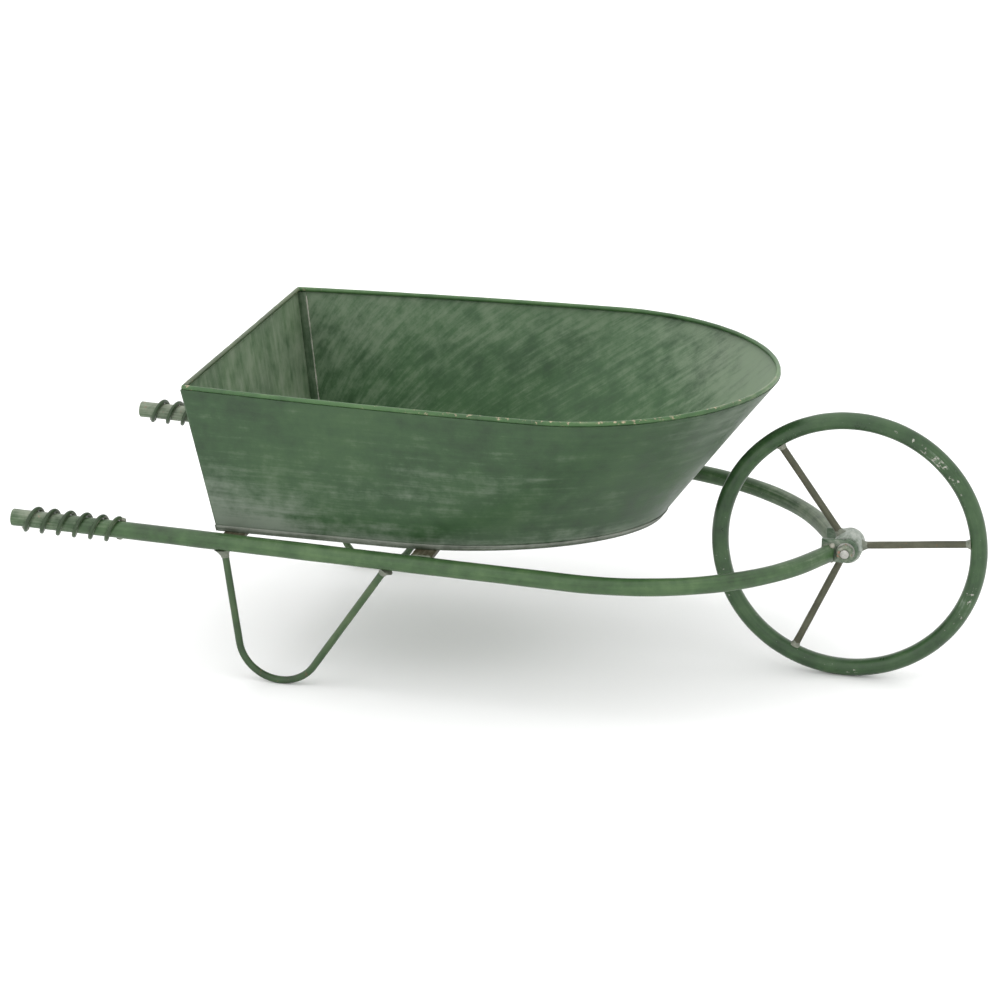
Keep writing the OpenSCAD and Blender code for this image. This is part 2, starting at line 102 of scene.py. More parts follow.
def aged_paint(name, shade, green, light, wash, bare, strokes=(6, 260), slant=0.0,
               washed=0.0, flaked=0.0, speck=0.72, gloss=0.46, relief=0.00025, cover=0.82):
    """Brushed paint in three greens, with a limewash rubbed into it, worn to bare metal and primer in chips.

    The mesh's "wash" and "wear" attributes say where the wash lies thick and where the paint is worn, and
    cover is how much the thickest wash hides. strokes is how many brush marks fit in a metre along and
    across the surface's own UV map."""
    made = bpy.data.materials.new(name)
    made.use_nodes = True
    tree = made.node_tree
    tree.nodes.clear()
    place = add(tree, "ShaderNodeTexCoord").outputs["Object"]
    grain = add(tree, "ShaderNodeUVMap", uv_map="Along").outputs[0]
    grain = add(tree, "ShaderNodeMapping", {"Vector": grain, "Rotation": (0, 0, slant)}).outputs[0]
    grain = add(tree, "ShaderNodeMapping", {"Vector": grain, "Scale": (*strokes, 1)}).outputs[0]
    wash_at = add(tree, "ShaderNodeAttribute", attribute_name="wash").outputs["Fac"]
    wear_at = add(tree, "ShaderNodeAttribute", attribute_name="wear").outputs["Fac"]

    def plus(a, b):
        return calc(tree, "ADD", a, b)

    def times(a, b):
        return calc(tree, "MULTIPLY", a, b)

    clouds = noise(tree, place, 8, 4)
    mottle = noise(tree, place, 42, 6, 0.65)
    fine = noise(tree, place, 420, 3)
    brush = noise(tree, grain, 1, 8, 0.7)

    tone = plus(plus(times(clouds, 0.40), times(mottle, 0.38)), times(brush, 0.22))
    colour = ramp(tree, tone, (0.38, shade), (0.5, green), (0.62, light))

    thick = plus(plus(plus(times(mottle, 1.1), times(brush, 1.3)), wash_at), washed - 1.2)
    wash_on = soft_step(tree, thick, 0.12, 0.95)
    colour = over(tree, times(wash_on, cover), colour, (*wash, 1))

    flake = plus(plus(noise(tree, place, 150, 4, 0.7), times(wear_at, 0.28)), times(brush, 0.25))
    chipped = soft_step(tree, plus(flake, flaked), 0.86, 0.93)
    metal = ramp(tree, noise(tree, place, 90, 3), (0.40, [0.62 * c for c in bare]), (0.62, bare))
    colour = over(tree, times(chipped, 0.85), colour, metal)
    speckled = soft_step(tree, fine, speck, speck + 0.05)
    colour = over(tree, times(speckled, 0.6), colour, (*[min(1.0, 1.25 * c) for c in wash], 1))

    rough = plus(plus(times(mottle, 0.35), gloss - 0.175), times(wash_on, 0.16))
    height = calc(tree, "SUBTRACT", plus(brush, times(fine, 0.35)), times(chipped, 0.7))
    bump = add(tree, "ShaderNodeBump", {"Height": height, "Distance": relief, "Strength": 0.7}).outputs[0]
    shader = add(tree, "ShaderNodeBsdfPrincipled",
                 {"Base Color": colour, "Roughness": rough, "Normal": bump, "Specular IOR Level": 0.42})
    out = add(tree, "ShaderNodeOutputMaterial")
    tree.links.new(shader.outputs[0], out.inputs[0])
    return made


def arc_lengths(grid, axis):
    """Mean distance travelled along one direction of a grid of points, with the step that closes it last."""
    steps = np.linalg.norm(np.diff(grid, axis=axis, append=grid.take([0], axis=axis)), axis=2)
    return np.concatenate([[0.0], np.cumsum(steps.mean(axis=1 - axis))])


def surface(name, grid, paints, wash=0.0, wear=0.0, ring=False, closed=True, finish=None):
    """A mesh on a grid of points: rows run along the piece, columns run round it.

    Each face looks along (next column - column) x (next row - row). A piece that isn't a ring is closed
    at both ends by a flat face. wash and wear are amounts for each point, and finish is the paint of
    each column."""
    rows, cols = grid.shape[:2]
    number = np.arange(rows * cols).reshape(rows, cols)
    r = np.arange(rows if ring else rows - 1)[:, None]
    c = np.arange(cols if closed else cols - 1)[None, :]
    corner_r = np.stack([r + 0 * c, r + 0 * c, r + 1 + 0 * c, r + 1 + 0 * c], axis=-1)
    corner_c = np.stack([c + 0 * r, c + 1 + 0 * r, c + 1 + 0 * r, c + 0 * r], axis=-1)
    quads = number[corner_r % rows, corner_c % cols].reshape(-1, 4)
    along, round_it = arc_lengths(grid, 0), arc_lengths(grid, 1)
    uv = np.stack([along[corner_r], round_it[corner_c]], axis=-1).reshape(-1, 2)
    paint_of = np.broadcast_to(0 if finish is None else np.asarray(finish)[corner_c[..., 0]], corner_c.shape[:2])
    loops, starts, paint = quads.ravel(), np.arange(len(quads)) * 4, paint_of.ravel()
    if not ring and closed:
        ends = np.concatenate([number[0, ::-1], number[-1]])
        starts = np.concatenate([starts, len(loops) + np.array([0, cols])])
        loops = np.concatenate([loops, ends])
        uv = np.concatenate([uv, (grid.reshape(-1, 3)[ends] @ np.array([[1, 0], [0, 1], [0, 0]]))])
        paint = np.concatenate([paint, [0, 0]])
    mesh = bpy.data.meshes.new(name)
    mesh.vertices.add(rows * cols)
    mesh.vertices.foreach_set("co", grid.astype(np.float32).ravel())
    mesh.loops.add(len(loops))
    mesh.loops.foreach_set("vertex_index", loops.astype(np.int32))
    mesh.polygons.add(len(starts))
    mesh.polygons.foreach_set("loop_start", starts.astype(np.int32))
    mesh.update(calc_edges=True)
    mesh.polygons.foreach_set("material_index", paint.astype(np.int32))
    mesh.polygons.foreach_set("use_smooth", np.ones(len(starts), bool))
    mesh.uv_layers.new(name="Along").data.foreach_set("uv", uv.astype(np.float32).ravel())
    for key, amount in (("wash", wash), ("wear", wear)):
        values = np.broadcast_to(amount, (rows, cols)).astype(np.float32).ravel()
        mesh.attributes.new(key, "FLOAT", "POINT").data.foreach_set("value", values)
    mesh.set_sharp_from_angle(angle=np.radians(42))
    for coat in paints if isinstance(paints, (list, tuple)) else [paints]:
        mesh.materials.append(coat)
    piece = bpy.data.objects.new(name, mesh)
    bpy.context.scene.collection.objects.link(piece)
    return piece


def unit(vectors):
    """Each vector divided by its length."""
    return vectors / np.linalg.norm(vectors, axis=-1, keepdims=True)


def distances(path):
    """How far along a path each of its points lies."""
    return np.concatenate([[0], np.cumsum(np.linalg.norm(np.diff(path, axis=0), axis=1))])


def evenly(path, step):
    """The same path with its points an even step apart."""
    travelled = distances(path)
    at = np.linspace(0, travelled[-1], int(round(travelled[-1] / step)) + 1)
    return np.stack([np.interp(at, travelled, path[:, k]) for k in range(3)], axis=1)


def tube(path, facing, radius, sides):
    """A round section carried along a path: centre + radius (cos a facing + sin a across), where across is
    square to the path and to the facing direction. The radius may change from point to point."""
    ahead = unit(np.gradient(path, axis=0))
    facing = np.broadcast_to(facing, path.shape)
    out = unit(facing - (facing * ahead).sum(1, keepdims=True) * ahead)
    across = np.cross(ahead, out)
    angle = np.linspace(0, 2 * np.pi, sides, endpoint=False)[None, :, None]
    radius = np.broadcast_to(radius, len(path))[:, None, None]
    return path[:, None] + radius * (np.cos(angle) * out[:, None] + np.sin(angle) * across[:, None])


def uneven(points, size, height, seed):
    """A smooth hand-made unevenness: nine sine waves of about one size, in random directions, added up."""
    draw = np.random.default_rng(seed)
    ways = unit(draw.normal(size=(9, 3))) / (size * draw.uniform(0.7, 1.6, (9, 1)))
    waves = np.sin(2 * np.pi * (points @ ways.T) + draw.uniform(0, 6.28, 9))
    return height * waves.sum(-1) / 4.5


def bump_at(value, centre, width):
    """1 at the centre, falling off on both sides as a bell curve."""
    return np.exp(-((value - centre) / width) ** 2)


def mirrored(grid):
    """The same piece on the other side of the barrow, its columns turned round so that faces still look out."""
    return grid[:, ::-1] * np.array([1, -1, 1])


hub_low, hub_high = (np.array(corner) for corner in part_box("wheel_hub"))
axle = (hub_low + hub_high) / 2

both_sides = ((1, "left"), (-1, "right"))
rail_radius, rail_wall = 0.0095, 0.0015
rail_gap, rail_reach = 0.2065, 0.896
rail_end_back, rail_end_drop, rail_tip_rise = 0.0165, 0.003, 0.0175
rail_bend, rail_bend_angle = 0.262, np.radians(64)
lug_face, rail_cut_back = 0.021, 0.012
rail_slope = np.arctan((rail_tip_rise + rail_end_drop) / (rail_reach - rail_end_back))
rail_length = (rail_reach - rail_end_back) / np.cos(rail_slope)
rail_tail = (rail_gap - rail_bend * (1 - np.cos(rail_bend_angle)) - lug_face) / np.sin(rail_bend_angle)
rail_straight = rail_length - rail_bend * np.sin(rail_bend_angle) - rail_tail * np.cos(rail_bend_angle)


def on_rail(local):
    """Points given from the handle tip in the rails' own plane, put in place: turned by the rails' slope."""
    x, y, z = np.moveaxis(np.asarray(local, float), -1, 0)
    x = x - rail_length
    cos, sin = np.cos(rail_slope), np.sin(rail_slope)
    home = axle - np.array([rail_end_back, 0, rail_end_drop])
    return np.stack([x * cos + z * sin, y, z * cos - x * sin], axis=-1) + home


def rail_height(back):
    """Height of the rails' centre line at a distance behind the axle."""
    return axle[2] - rail_end_drop + (back - rail_end_back) * np.tan(rail_slope)


turn = np.linspace(0, rail_bend_angle, 200)
rail_line = np.concatenate([
    [[0, rail_gap, 0]],
    np.stack([rail_straight + rail_bend * np.sin(turn), rail_gap - rail_bend * (1 - np.cos(turn)), 0 * turn], 1),
    [[rail_length - 0.022 * np.cos(rail_bend_angle), lug_face + 0.022 * np.sin(rail_bend_angle), 0]],
])
rail_line = on_rail(evenly(rail_line, 0.0035))


def rail_rings(radius):
    """The rail's round section along its line, then four more that meet the sawn end: each edge line of
    the tube runs straight on until it meets the lug's face or the square cut in front, whichever is first."""
    rings = tube(rail_line, (0, 0, -1), radius, 56)
    ahead = unit(rail_line[-1] - rail_line[-2])
    to_lug = (rings[-1, :, 1] - lug_face) / -ahead[1]
    to_cut = (axle[0] - rail_cut_back - rings[-1, :, 0]) / ahead[0]
    reach = np.minimum(to_lug, to_cut)[None, :, None] * np.linspace(0.25, 1, 4)[:, None, None]
    return np.concatenate([rings, rings[-1] + reach * ahead])


rail_outside = rail_rings(rail_radius)
dents = uneven(rail_outside, 0.06, 0.00018, 3)[..., None]
rail_outside[3:-6] += (dents * unit(rail_outside - rail_outside.mean(1, keepdims=True)))[3:-6]
rail_inside = rail_rings(rail_radius - rail_wall)
mouth = rail_inside[0] + 0.003 * unit(rail_line[1] - rail_line[0])
lip = rail_outside[:1] * 0.9 + rail_inside[:1] * 0.1
rail_outside[0] += 0.0004 * unit(rail_line[1] - rail_line[0])
rail_grid = np.concatenate([mouth[None], rail_inside[:1], lip, rail_outside, rail_inside[-1:-18:-1]])

forward = rail_grid[..., 0]
upward = unit(rail_grid - rail_grid.mean(1, keepdims=True))[..., 2]
grip_part = bump_at(forward, -0.49, 0.075)
rail_wash = (0.55 * grip_part + 0.30 * bump_at(forward, 0.36, 0.07) + 0.16 * upward * (forward < -0.1)
             + 0.12 * bump_at(forward, -0.27, 0.05) + 0.10 * bump_at(upward, 0.9, 0.4))
rail_wear = 0.60 * grip_part + 0.32 * bump_at(upward, 1, 0.5) * bump_at(forward, -0.12, 0.22)

rail_greens = (0.020, 0.044, 0.015), (0.039, 0.088, 0.029), (0.071, 0.132, 0.049)
rail_paint = aged_paint("rail_paint", *rail_greens,
        wash=(0.27, 0.29, 0.23), bare=(0.27, 0.22, 0.15), strokes=(9, 300),
        washed=-0.22, flaked=-0.05, gloss=0.40)
far_rail_paint = aged_paint("far_rail_paint", *rail_greens,
        wash=(0.27, 0.29, 0.23), bare=(0.27, 0.22, 0.15), strokes=(9, 300),
        washed=-0.10, flaked=-0.03, speck=0.68, gloss=0.44)
far_wash = rail_wash + 0.30 * bump_at(forward, 0.30, 0.10)
rail_left = surface("rail_tube_left", rail_grid, far_rail_paint, far_wash, rail_wear)
rail_right = surface("rail_tube_right", mirrored(rail_grid), rail_paint, rail_wash[:, ::-1], rail_wear[:, ::-1])
for rail, node in ((rail_left, "rail_left"), (rail_right, "rail_right")):
    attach(rail, "frame")
    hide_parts(node)


# ---- Handle end caps ----
# Pressed steel discs, slightly domed, pushed into the open ends of the handles and painted over.

def turned(profile, centre, axis, facing, sides):
    """A surface of revolution: each profile point (distance along the axis, radius) turned round the axis."""
    profile = np.asarray(profile, float)
    axis = unit(np.asarray(axis, float))
    path = np.asarray(centre, float) + profile[:, :1] * axis
    across = np.cross(axis, facing)
    angle = np.linspace(0, 2 * np.pi, sides, endpoint=False)[None, :, None]
    return path[:, None] + profile[:, 1][:, None, None] * (np.cos(angle) * facing + np.sin(angle) * across)


rail_ahead = unit(rail_line[1] - rail_line[0])
cap_profile = [(0.0006, 0.0002), (0.0004, 0.0030), (0.0001, 0.0055), (0.0000, 0.0068), (0.0003, 0.0076),
               (0.0010, 0.00785), (0.0020, 0.00785), (0.0020, 0.0002)]
cap_paint = aged_paint("cap_paint", (0.060, 0.085, 0.055), (0.111, 0.145, 0.102), (0.187, 0.212, 0.170),
        wash=(0.40, 0.40, 0.35), bare=(0.26, 0.22, 0.16), strokes=(120, 120), washed=0.1)
for side, node in ((1, "handle_cap_left"), (-1, "handle_cap_right")):
    tip = rail_line[0] * np.array([1, side, 1])
    disc = turned(cap_profile, tip, rail_ahead, np.array([0.0, 1.0, 0.0]), 48)
    cap = surface(node + "_disc", disc, cap_paint, wash=0.2, wear=0.3)
    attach(cap, "frame")
    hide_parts(node)


# ---- Grip windings ----
# A 5 mm rod wound five and a half turns round each handle, welded to it at its first and last turn.
# The rod is green; the limewash stays in the corner between it and the handle.

def lump(centre, axis, size, seed, sides=28, rows=16):
    """A weld blob: an ellipsoid of half-sizes (along the axis, across it), its skin pushed in and out unevenly."""
    around = np.linspace(0.06, np.pi - 0.06, rows)
    profile = np.stack([-size[0] * np.cos(around), size[1] * np.sin(around)], 1)
    axis = unit(np.asarray(axis, float))
    facing = unit(np.cross(axis, (0.31, 0.52, 0.79)))
    grid = turned(profile, centre, axis, facing, sides)
    return grid + uneven(grid, 1.4 * size[1], 0.14 * size[1], seed)[..., None] * unit(grid - np.asarray(centre))


coil_rod, coil_turns, coil_pitch, coil_start = 0.0025, 5.6, 0.0188, 0.015
coil_reach, coil_lean = rail_radius + 0.00025 + coil_rod, 0.0017
step = np.linspace(0, coil_turns, int(coil_turns * 60))
spin = -np.pi / 2 - 2 * np.pi * step
coil_x = coil_start + coil_pitch * step + coil_lean * (1 - np.cos(2 * np.pi * step))
coil_out = np.stack([0 * spin, np.cos(spin), np.sin(spin)], 1)
coil_radius = coil_rod * np.minimum(1, 0.55 + 0.45 * np.minimum(step, coil_turns - step) / 0.03)
coil_paint = aged_paint("coil_paint", (0.012, 0.024, 0.008), (0.024, 0.051, 0.017), (0.054, 0.084, 0.033),
        wash=(0.33, 0.32, 0.27), bare=(0.16, 0.11, 0.06), strokes=(14, 160),
        washed=-0.25, flaked=0.0, gloss=0.38)
weld_paint = aged_paint("weld_paint", (0.075, 0.092, 0.066), (0.140, 0.158, 0.119), (0.215, 0.224, 0.177),
        wash=(0.38, 0.37, 0.31), bare=(0.24, 0.18, 0.12), strokes=(160, 160),
        washed=0.1, flaked=0.02, gloss=0.50)
for side, node in ((1, "grip_coil_left"), (-1, "grip_coil_right")):
    middle = np.stack([coil_x, side * rail_gap + coil_reach * coil_out[:, 1], coil_reach * coil_out[:, 2]], 1)
    coil_path = on_rail(middle)
    coil_grid = tube(coil_path, coil_out, coil_radius, 16)
    lee = unit(coil_grid - coil_path[:, None]) @ rail_ahead
    inner = -(unit(coil_grid - coil_path[:, None]) * coil_out[:, None]).sum(2)
    coil_wash = 0.75 * np.clip(lee + 0.3 * inner - 0.1, 0, 1)
    coil = surface(node + "_rod", coil_grid, coil_paint, coil_wash, 0.25 * (inner < 0))
    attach(coil, "frame")
    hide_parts(node)
    spots = {
        "start": (coil_path[1] + (0, 0, 0.0016), rail_ahead, (0.0042, 0.0028)),
        "end": (coil_path[-2] - 0.0012 * coil_out[-2] + 0.0028 * rail_ahead, rail_ahead, (0.0042, 0.0027)),
        "stray": (on_rail((0.124, side * rail_gap, -0.0097)), rail_ahead, (0.0040, 0.0020)),
    }
    for spot, (centre, axis, size) in spots.items():
        weld = surface(f"{node}_weld_{spot}", lump(centre, axis, size, 11 + len(spot)), weld_paint, 0.3, 0.1)
        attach(weld, "frame")


# ---- Crossbars ----
# Two 24 x 5 mm flat bars that carry the tray, cut to lie between the rails and welded to their inner sides.
# Their thin olive paint has let the steel rust brown; its dark olive colour is also painted shade, the shade under
# the tray.

def bar_section(width, thick, corner, count=5):
    """Outline of a flat bar, centred: a rectangle with each corner rounded by a quarter circle."""
    quarter = np.linspace(0, np.pi / 2, count)
    turns = [quarter + k * np.pi / 2 for k in range(4)]
    arcs = [np.stack([np.cos(turn), np.sin(turn)], 1) * corner for turn in turns]
    across, up = width / 2 - corner, thick / 2 - corner
    middles = [(across, up), (-across, up), (-across, -up), (across, -up)]
    return np.concatenate([arc + middle for arc, middle in zip(arcs, middles)])


def bead(path, facing, radius, seed, sides=14):
    """A run of weld along a path: a round section whose radius swells and shrinks with each drop."""
    travelled = distances(path)
    drops = 1 + 0.16 * np.sin(travelled / 0.0011 + seed) + 0.12 * np.sin(travelled / 0.0037 + 2 * seed)
    ends = np.minimum(1, 0.35 + np.minimum(travelled, travelled[-1] - travelled) / 0.0018)
    grid = tube(path, facing, radius * drops * ends, sides)
    return grid + uneven(grid, 0.004, 0.12 * radius, seed)[..., None] * unit(grid - path[:, None])


floor_rise, bar_width, bar_thick = 0.0145, 0.024, 0.005
bar_backs = {"rear": 0.648, "front": 0.4325}
tray_foot_z = axle[2] + floor_rise
# Dark olive-brown greens: the bars' paint with the tray's shade painted into it.
bar_paint_and_shade = aged_paint("bar_paint_and_shade", (0.034, 0.029, 0.015), (0.064, 0.058, 0.031), (0.102, 0.102, 0.055),
        wash=(0.38, 0.36, 0.30), bare=(0.17, 0.09, 0.035), strokes=(10, 260),
        washed=-0.18, flaked=0.03, gloss=0.55)
for name, back in bar_backs.items():
    bar_x = axle[0] - back
    outline = bar_section(bar_width, bar_thick, 0.0009)
    share = np.linspace(-1, 1, 120)[:, None]
    level = tray_foot_z - bar_thick / 2 + outline[:, 1]
    inside_rail = np.sqrt((rail_radius - 0.0004) ** 2 - (level - rail_height(back)) ** 2)
    bar_grid = np.stack([0 * share + bar_x + outline[:, 0], share * (rail_gap - inside_rail), 0 * share + level], 2)
    bar_grid = bar_grid[:, ::-1]
    bar_grid[..., 2] -= np.abs(uneven(bar_grid, 0.09, 0.00016, 5)) * (bar_grid[..., 2] < tray_foot_z - 0.003)
    # The top edge of each bar is made paler.
    bar = surface(f"crossbar_{name}_flat", bar_grid, bar_paint_and_shade, 0.35 * (bar_grid[..., 2] > tray_foot_z - 0.001), 0.15)
    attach(bar, "frame")
    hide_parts(f"crossbar_{name}")
    for side, word in both_sides:
        for edge, height in (("top", tray_foot_z + 0.0002), ("under", tray_foot_z - bar_thick - 0.0002)):
            lift = height - rail_height(back)
            run_y = side * (rail_gap - np.sqrt(rail_radius ** 2 - min(lift ** 2, 8e-5)) - 0.0002)
            run_x = np.linspace(bar_x - 0.0115, bar_x + 0.0115, 40)
            run = np.stack([run_x, np.full(40, run_y), np.full(40, height)], 1)
            weld = surface(f"crossbar_{name}_weld_{word}_{edge}", bead(run, (0, 0, 1), 0.0016, 3 + side), weld_paint,
                           0.1, 0.3)
            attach(weld, "frame")


# ---- Legs ----
# Each leg is one 8 mm rod bent to a V with a round foot, leaning in a little towards the ground.
# Its two ends are welded under the rail; the paint is dark green and browned where the rod was bent.

leg_radius, leg_back, foot_radius, foot_gap = 0.004, 0.594, 0.046, 0.192
leg_tops = {"rear": 0.653, "front": 0.464}
leg_plane_z = rail_height(leg_back)
leg_drop = leg_plane_z - leg_radius
leg_lean = np.arctan((rail_gap - foot_gap) / leg_drop)
bend_centre = np.array([-leg_back, foot_radius - leg_drop / np.cos(leg_lean)])
top_points = {end: np.array([-back, (rail_height(back) - leg_plane_z) / np.cos(leg_lean)])
              for end, back in leg_tops.items()}


def touch_angle(point, way):
    """Angle on the foot's bend where the straight branch from a point touches it."""
    reach = point - bend_centre
    return np.arctan2(reach[1], reach[0]) + way * np.arccos(foot_radius / np.linalg.norm(reach))


rear_touch = touch_angle(top_points["rear"], 1)
front_touch = touch_angle(top_points["front"], -1) + 2 * np.pi
sweep = np.linspace(rear_touch, front_touch, 160)
leg_flat = np.concatenate([
    [top_points["rear"]],
    bend_centre + foot_radius * np.stack([np.cos(sweep), np.sin(sweep)], 1),
    [top_points["front"]],
])
leg_line = np.stack([axle[0] + leg_flat[:, 0], rail_gap + leg_flat[:, 1] * np.sin(leg_lean),
                     leg_plane_z + leg_flat[:, 1] * np.cos(leg_lean)], 1)
leg_line = evenly(leg_line, 0.003)
under_rail = np.linalg.norm(leg_line[:, 1:] - np.stack([np.full(len(leg_line), rail_gap),
                            rail_height(axle[0] - leg_line[:, 0])], 1), axis=1) > 0.0082
leg_line = leg_line[under_rail]
leg_facing = (0, np.cos(leg_lean), -np.sin(leg_lean))
leg_grid = tube(leg_line, leg_facing, leg_radius, 24)
leg_grid[4:-4] += (uneven(leg_grid, 0.05, 0.00012, 8)[..., None] * unit(leg_grid - leg_line[:, None]))[4:-4]
leg_grid[..., 2] = np.maximum(leg_grid[..., 2], 0.0)
leg_wear = 0.35 * bump_at(leg_grid[..., 2], 0.0, 0.03) + 0.2 * bump_at(leg_grid[..., 2], 0.15, 0.03)
leg_paint = aged_paint("leg_paint", (0.016, 0.031, 0.011), (0.032, 0.068, 0.024), (0.061, 0.099, 0.040),
        wash=(0.40, 0.40, 0.33), bare=(0.15, 0.10, 0.05), strokes=(12, 200),
        washed=-0.28, flaked=0.02, gloss=0.44)
for side, word in both_sides:
    grid = leg_grid if side > 0 else mirrored(leg_grid)
    leg = surface(f"leg_{word}_rod", grid, leg_paint, 0.12, leg_wear if side > 0 else leg_wear[:, ::-1])
    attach(leg, "frame")
    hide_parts(f"leg_{word}")
    for end, way, last in (("rear", -1, 0), ("front", 1, -1)):
        top = leg_line[last] * np.array([1, side, 1])
        down = unit(leg_line[6 if last == 0 else -7] - leg_line[last]) * np.array([1, side, 1])
        reach = np.linspace(-0.0006, 0.009 if end == "rear" else 0.007, 18)
        flare = leg_radius + 0.0002 + 0.0030 * (1 - (reach - reach[0]) / (reach[-1] - reach[0])) ** 1.8
        flare[-1] = leg_radius - 0.0003
        grid = turned(np.stack([reach, flare], 1), top, down, unit(np.cross(down, (0, 1, 0))), 30)
        outward = unit(grid - (top + reach[:, None, None] * down))
        lean_out = np.clip(outward[..., 0] * way, 0, 1) ** 2 * ((flare - leg_radius + 0.0003) / 0.0035)[:, None]
        grid = grid + outward * (lean_out * (0.0042 if end == "rear" else 0.003))[..., None]
        grid[1:-1] += (uneven(grid, 0.004, 0.00028, 6 + way)[..., None] * outward)[1:-1]
        weld = surface(f"leg_{word}_weld_{end}", grid, weld_paint, 0.1, 0.15)
        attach(weld, "frame")


# ---- Tray walls ----
# One long sheet of 1.2 mm steel wrapped from one rear corner round the nose to the other, its sides leaning
# out, and a flat sheet closing the back. Painted green with long level strokes; the limewash was rubbed off,
# so that it stays in a grey bloom low down outside and all over inside.

sheet, tray_deep, seam_high, roll_radius = 0.0012, 0.167, 0.007, 0.0027
foot_outline = (0.6675, 0.472, 0.210, 0.180, 0.180)
rim_outline = (0.6965, 0.3065, 0.0845, 0.209, 0.228)
nose_fullness = 1.9


def tray_outline(walk, z):
    """Outside of the tray's wall. walk goes from the left rear corner (0) past the widest place (1) to the nose
    (2) and back along the right side to 4. The side bows out as a parabola, the nose is a superellipse, and
    every size changes evenly from the foot to the rim."""
    share = (z - tray_foot_z) / tray_deep
    rear, wide, nose, rear_half, wide_half = (f + (r - f) * share for f, r in zip(foot_outline, rim_outline))
    walk, z = np.broadcast_arrays(walk, z)
    near = np.where(walk <= 2, walk, 4 - walk)
    quarter = np.clip(near - 1, 0, 1) * np.pi / 2
    side_x, nose_x = -rear + (rear - wide) * near, -wide + (wide - nose) * np.sin(quarter) ** (2 / nose_fullness)
    side_y = rear_half + (wide_half - rear_half) * (1 - (1 - near) ** 2)
    nose_y = wide_half * np.clip(np.cos(quarter), 0, 1) ** (2 / nose_fullness)
    x, y = np.where(near <= 1, side_x, nose_x), np.where(near <= 1, side_y, nose_y)
    return np.stack([axle[0] + x, np.where(walk <= 2, y, -y), z], axis=-1)


def tray_point(walk, z, out=0.0):
    """A point at a distance outside the tray's wall, measured level and square to its outline."""
    ahead = tray_outline(walk + 2e-3, z) - tray_outline(walk - 2e-3, z)
    square = unit(np.stack([-ahead[..., 1], ahead[..., 0], 0 * ahead[..., 0]], axis=-1))
    return tray_outline(walk, z) + (np.asarray(out) + 0 * square[..., 0])[..., None] * square


dense = np.linspace(0, 4, 8001)
rim_travel = distances(tray_outline(dense, np.full(8001, tray_foot_z + tray_deep)))
stations = np.interp(np.linspace(0, rim_travel[-1], 401), rim_travel, dense)
station = stations[:, None]

wall_z = tray_foot_z + tray_deep * np.linspace(0, 1, 30)
up_and_down = np.concatenate([wall_z, wall_z[::-1]])[None, :]
depth = np.concatenate([np.zeros(30), np.full(30, -sheet)])[None, :]
middle_of_wall = np.sin(np.pi * np.clip((up_and_down - tray_foot_z) / tray_deep, 0, 1)) ** 0.7
away_from_corner = 1 - np.exp(-np.minimum(station, 4 - station) * 9)
flat_wall = tray_point(station, up_and_down)
buckle = uneven(flat_wall * (1, 1, 0.8), 0.23, 0.0009, 21) + uneven(flat_wall, 0.075, 0.00022, 22)
wall_grid = tray_point(station, up_and_down, depth + buckle * middle_of_wall * away_from_corner)

x, y, z = np.moveaxis(wall_grid, -1, 0)
low = 1 - (z - tray_foot_z) / tray_deep
columns_inside = np.arange(60) >= 30
rear_part = bump_at(x, -0.30, 0.13)
wall_wash = np.where(
    columns_inside[None, :],
    0.22 + 0.22 * bump_at(low, 0.1, 0.3) + 0.55 * bump_at(x, 0.27, 0.10) + 0.20 * rear_part,
    0.04 + 0.75 * bump_at(low, 1.05, 0.15) + 0.60 * rear_part * bump_at(low, 0.85, 0.35)
    + 0.22 * bump_at(x, -0.02, 0.14) * bump_at(low, 0.55, 0.25) + 0.50 * bump_at(x, 0.27, 0.06),
)
wall_wear = np.where(columns_inside[None, :], 0.22 * bump_at(low, 0.02, 0.06),
                     0.30 * bump_at(low, 0.0, 0.07) + 0.25 * bump_at(low, 1.0, 0.05)) + 0.25 * (station < 0.01)
outside_paint = aged_paint("tray_outside_paint", (0.014, 0.039, 0.013), (0.024, 0.064, 0.021), (0.036, 0.083, 0.028),
        wash=(0.22, 0.25, 0.21), bare=(0.46, 0.42, 0.36), strokes=(7, 80),
        washed=-0.02, flaked=-0.1, speck=0.80, gloss=0.42, relief=0.00022, cover=0.6)
inside_paint = aged_paint("tray_inside_paint", (0.021, 0.059, 0.020), (0.037, 0.098, 0.033), (0.058, 0.128, 0.048),
        wash=(0.27, 0.32, 0.24), bare=(0.48, 0.42, 0.34), strokes=(22, 120), slant=1.15,
        washed=-0.02, flaked=-0.12, speck=0.80, gloss=0.50, relief=0.0002, cover=0.5)
side_wall = surface("tray_side_sheet", wall_grid, [outside_paint, inside_paint], wall_wash, wall_wear,
                    finish=np.where(np.append(columns_inside[:-1], False), 1, 0))
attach(side_wall, "frame")
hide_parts("tray_side_wall")

panel_run = foot_outline[0] - rim_outline[0]
panel_lean = np.arctan2(-panel_run, tray_deep)
panel_in = np.array([np.cos(panel_lean), 0, np.sin(panel_lean)])


def panel_point(across, up, ahead):
    """A point on the rear panel: across from -1 to 1, up from 0 at the foot to 1 at the rim, and ahead of
    its inner face along the panel's own square."""
    across, up, ahead = np.broadcast_arrays(across, up, ahead)
    half = foot_outline[3] + (rim_outline[3] - foot_outline[3]) * up
    back_x = axle[0] - foot_outline[0] + panel_run * up
    base = np.stack([back_x, across * half, tray_foot_z + tray_deep * up], -1)
    return base + ahead[..., None] * panel_in


